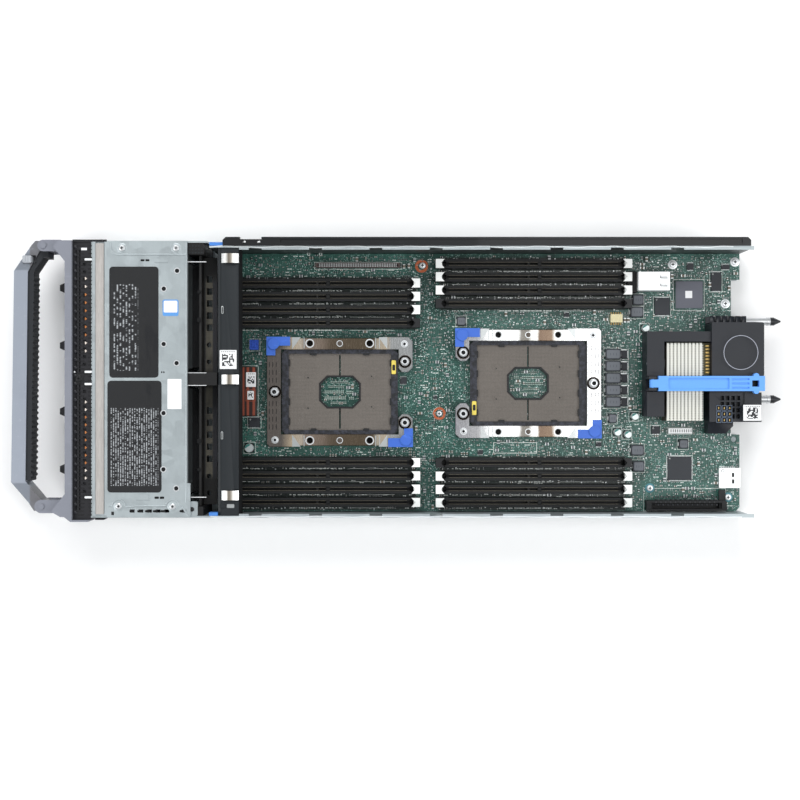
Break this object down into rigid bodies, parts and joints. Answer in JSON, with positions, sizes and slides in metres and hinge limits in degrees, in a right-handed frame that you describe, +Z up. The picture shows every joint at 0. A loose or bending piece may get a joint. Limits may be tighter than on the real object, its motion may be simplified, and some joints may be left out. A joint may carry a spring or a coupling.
{
  "type": "blade server",
  "caption": "Slim open-topped server blade: front handle, drive bays, system board with two processor sockets and memory sockets, rear connectors.",
  "frame": {"origin": "centre of the bounding box's bottom face, under the pan's floor", "axes": "+X from the front handle to the rear guide pins, +Z up out of the open top"},
  "size_m": [0.5444, 0.1978, 0.0503],
  "materials": {
    "zinc_pan": "galvanised sheet, fine spangle, satin",
    "black_rail": "black moulded plastic, fine grain",
    "grey_bezel": "mid-grey moulded plastic, satin",
    "black_vent": "black moulded plastic with coppery contacts",
    "grey_foam": "warm grey conductive-cloth gasket",
    "zinc_cage": "galvanised sheet, satin",
    "zinc_cover": "pale blue-grey zinc plate, satin",
    "bright_fasteners": "bright plated steel",
    "black_blocks": "black moulded plastic",
    "backplane_board": "dark grey-brown board",
    "slate_bar": "slate-black satin plastic",
    "spring_steel": "bright spring steel",
    "blue_touch": "blue moulded plastic",
    "green_board": "green solder mask with pale tracks and parts",
    "brown_socket": "brown-grey contact field in a dark frame",
    "tinted_bolster": "warm tinted steel",
    "bright_bolster": "bright steel",
    "black_socket": "black moulded plastic",
    "grey_power": "grey moulded chokes and cans",
    "black_chips": "black moulded chips",
    "tinned_ports": "tinned steel shells",
    "dark_connectors": "dark moulded plastic",
    "black_housing": "black satin plastic",
    "black_io": "black moulded plastic",
    "pale_fins": "pale bare metal fins",
    "steel_pins": "turned steel with dark tips",
    "satin_handle": "dark grey satin paint",
    "black_grip": "black scalloped soft grip",
    "pale_release": "pale grey translucent plastic",
    "dark_latch": "dark coated steel",
    "grey_button": "grey plastic button",
    "black_drive": "black drive carrier with dark drive case",
    "blue_latch": "bright blue moulded plastic",
    "black_latch": "black moulded plastic",
    "white_latch": "off-white moulded plastic"
  },
  "bodies": {
    "chassis": {"base_pan": "zinc_pan", "guide_rail": "black_rail", "front_bezel": "grey_bezel", "vent_frame": "black_vent", "seal_gasket": "grey_foam", "drive_cage": "zinc_cage", "cage_cover": "zinc_cover", "fasteners": "bright_fasteners", "corner_blocks": "black_blocks", "backplane": "backplane_board", "front_bar": "slate_bar", "spring_clips": "spring_steel", "touch_points": "blue_touch", "system_board": "green_board", "cpu_socket_1": "brown_socket", "cpu_socket_2": "brown_socket", "bolster_1": "tinted_bolster", "bolster_2": "bright_bolster", "dimm_sockets_front": "black_socket", "dimm_sockets_rear": "black_socket", "power_parts": "grey_power", "chips": "black_chips", "ports": "tinned_ports", "board_connectors": "dark_connectors", "rear_housing": "black_housing", "io_connector": "black_io", "heat_fins": "pale_fins", "guide_pins": "steel_pins"},
    "handle_arm": {"handle": "satin_handle", "handle_grip": "black_grip"},
    "release": {"handle_release": "pale_release"},
    "side_hook": {"side_latch": "dark_latch"},
    "power_key": {"power_button": "grey_button"},
    "drive_tray_1": {"drive_1": "black_drive"},
    "drive_tray_2": {"drive_2": "black_drive"},
    "retainer": {"retention_latch": "blue_latch"},
    "latch_01": {"dimm_latch_01": "white_latch"},
    "latch_02": {"dimm_latch_02": "white_latch"},
    "latch_03": {"dimm_latch_03": "white_latch"},
    "latch_04": {"dimm_latch_04": "black_latch"},
    "latch_05": {"dimm_latch_05": "black_latch"},
    "latch_06": {"dimm_latch_06": "white_latch"},
    "latch_07": {"dimm_latch_07": "white_latch"},
    "latch_08": {"dimm_latch_08": "white_latch"},
    "latch_09": {"dimm_latch_09": "white_latch"},
    "latch_10": {"dimm_latch_10": "white_latch"},
    "latch_11": {"dimm_latch_11": "white_latch"},
    "latch_12": {"dimm_latch_12": "white_latch"},
    "latch_13": {"dimm_latch_13": "white_latch"},
    "latch_14": {"dimm_latch_14": "white_latch"},
    "latch_15": {"dimm_latch_15": "black_latch"},
    "latch_16": {"dimm_latch_16": "black_latch"},
    "latch_17": {"dimm_latch_17": "black_latch"},
    "latch_18": {"dimm_latch_18": "black_latch"},
    "latch_19": {"dimm_latch_19": "white_latch"},
    "latch_20": {"dimm_latch_20": "white_latch"},
    "latch_21": {"dimm_latch_21": "white_latch"},
    "latch_22": {"dimm_latch_22": "white_latch"},
    "latch_23": {"dimm_latch_23": "white_latch"},
    "latch_24": {"dimm_latch_24": "white_latch"}
  },
  "joints": [
    {"name": "handle_hinge", "type": "hinge", "parent": "chassis", "child": "handle_arm", "pos_m": [-0.25015, -0.08865, 0.033], "axis": [0, 0, 1], "range_deg": [0, 60]},
    {"name": "drive_1_slide", "type": "slide", "parent": "chassis", "child": "drive_tray_1", "axis": [-1, 0, 0], "range_m": [0, 0.1]},
    {"name": "drive_2_slide", "type": "slide", "parent": "chassis", "child": "drive_tray_2", "axis": [-1, 0, 0], "range_m": [0, 0.1]},
    {"name": "retainer_hinge", "type": "hinge", "parent": "chassis", "child": "retainer", "pos_m": [0.17795, -0.0028, 0.0344], "axis": [0, -1, 0], "range_deg": [0, 100]},
    {"name": "release_slide", "type": "slide", "parent": "handle_arm", "child": "release", "axis": [1, 0, 0], "range_m": [0, 0.0025], "stiffness_N_per_m": 400, "springref_m": -0.001},
    {"name": "power_press", "type": "slide", "parent": "chassis", "child": "power_key", "axis": [1, 0, 0], "range_m": [0, 0.0012], "stiffness_N_per_m": 500, "springref_m": -0.001},
    {"name": "side_hook_slide", "type": "slide", "parent": "chassis", "child": "side_hook", "axis": [0, 1, 0], "range_m": [0, 0.0024]},
    {"name": "latch_01_hinge", "type": "hinge", "parent": "chassis", "child": "latch_01", "pos_m": [0.0114, 0.06925, 0.0125], "axis": [0, 1, 0], "range_deg": [0, 22]},
    {"name": "latch_02_hinge", "type": "hinge", "parent": "chassis", "child": "latch_02", "pos_m": [0.0114, 0.05975, 0.0125], "axis": [0, 1, 0], "range_deg": [0, 22]},
    {"name": "latch_03_hinge", "type": "hinge", "parent": "chassis", "child": "latch_03", "pos_m": [0.0114, 0.05025, 0.0125], "axis": [0, 1, 0], "range_deg": [0, 22]},
    {"name": "latch_04_hinge", "type": "hinge", "parent": "chassis", "child": "latch_04", "pos_m": [0.0114, 0.04075, 0.0125], "axis": [0, 1, 0], "range_deg": [0, 22]},
    {"name": "latch_05_hinge", "type": "hinge", "parent": "chassis", "child": "latch_05", "pos_m": [0.0114, -0.05915, 0.0125], "axis": [0, 1, 0], "range_deg": [0, 22]},
    {"name": "latch_06_hinge", "type": "hinge", "parent": "chassis", "child": "latch_06", "pos_m": [0.0114, -0.06865, 0.0125], "axis": [0, 1, 0], "range_deg": [0, 22]},
    {"name": "latch_07_hinge", "type": "hinge", "parent": "chassis", "child": "latch_07", "pos_m": [0.0114, -0.07815, 0.0125], "axis": [0, 1, 0], "range_deg": [0, 22]},
    {"name": "latch_08_hinge", "type": "hinge", "parent": "chassis", "child": "latch_08", "pos_m": [0.0114, -0.08765, 0.0125], "axis": [0, 1, 0], "range_deg": [0, 22]},
    {"name": "latch_09_hinge", "type": "hinge", "parent": "chassis", "child": "latch_09", "pos_m": [0.0286, 0.08325, 0.0125], "axis": [0, -1, 0], "range_deg": [0, 22]},
    {"name": "latch_10_hinge", "type": "hinge", "parent": "chassis", "child": "latch_10", "pos_m": [0.163, 0.08325, 0.0125], "axis": [0, 1, 0], "range_deg": [0, 22]},
    {"name": "latch_11_hinge", "type": "hinge", "parent": "chassis", "child": "latch_11", "pos_m": [0.0286, 0.07375, 0.0125], "axis": [0, -1, 0], "range_deg": [0, 22]},
    {"name": "latch_12_hinge", "type": "hinge", "parent": "chassis", "child": "latch_12", "pos_m": [0.163, 0.07375, 0.0125], "axis": [0, 1, 0], "range_deg": [0, 22]},
    {"name": "latch_13_hinge", "type": "hinge", "parent": "chassis", "child": "latch_13", "pos_m": [0.0286, 0.06425, 0.0125], "axis": [0, -1, 0], "range_deg": [0, 22]},
    {"name": "latch_14_hinge", "type": "hinge", "parent": "chassis", "child": "latch_14", "pos_m": [0.163, 0.06425, 0.0125], "axis": [0, 1, 0], "range_deg": [0, 22]},
    {"name": "latch_15_hinge", "type": "hinge", "parent": "chassis", "child": "latch_15", "pos_m": [0.0286, 0.05475, 0.0125], "axis": [0, -1, 0], "range_deg": [0, 22]},
    {"name": "latch_16_hinge", "type": "hinge", "parent": "chassis", "child": "latch_16", "pos_m": [0.163, 0.05475, 0.0125], "axis": [0, 1, 0], "range_deg": [0, 22]},
    {"name": "latch_17_hinge", "type": "hinge", "parent": "chassis", "child": "latch_17", "pos_m": [0.0286, -0.05935, 0.0125], "axis": [0, -1, 0], "range_deg": [0, 22]},
    {"name": "latch_18_hinge", "type": "hinge", "parent": "chassis", "child": "latch_18", "pos_m": [0.163, -0.05935, 0.0125], "axis": [0, 1, 0], "range_deg": [0, 22]},
    {"name": "latch_19_hinge", "type": "hinge", "parent": "chassis", "child": "latch_19", "pos_m": [0.0286, -0.06885, 0.0125], "axis": [0, -1, 0], "range_deg": [0, 22]},
    {"name": "latch_20_hinge", "type": "hinge", "parent": "chassis", "child": "latch_20", "pos_m": [0.163, -0.06885, 0.0125], "axis": [0, 1, 0], "range_deg": [0, 22]},
    {"name": "latch_21_hinge", "type": "hinge", "parent": "chassis", "child": "latch_21", "pos_m": [0.0286, -0.07835, 0.0125], "axis": [0, -1, 0], "range_deg": [0, 22]},
    {"name": "latch_22_hinge", "type": "hinge", "parent": "chassis", "child": "latch_22", "pos_m": [0.163, -0.07835, 0.0125], "axis": [0, 1, 0], "range_deg": [0, 22]},
    {"name": "latch_23_hinge", "type": "hinge", "parent": "chassis", "child": "latch_23", "pos_m": [0.0286, -0.08785, 0.0125], "axis": [0, -1, 0], "range_deg": [0, 22]},
    {"name": "latch_24_hinge", "type": "hinge", "parent": "chassis", "child": "latch_24", "pos_m": [0.163, -0.08785, 0.0125], "axis": [0, 1, 0], "range_deg": [0, 22]}
  ],
  "couplings": [
    {"joint": "side_hook_slide", "follows": "handle_hinge", "m_per_rad": 0.002292}
  ]
}
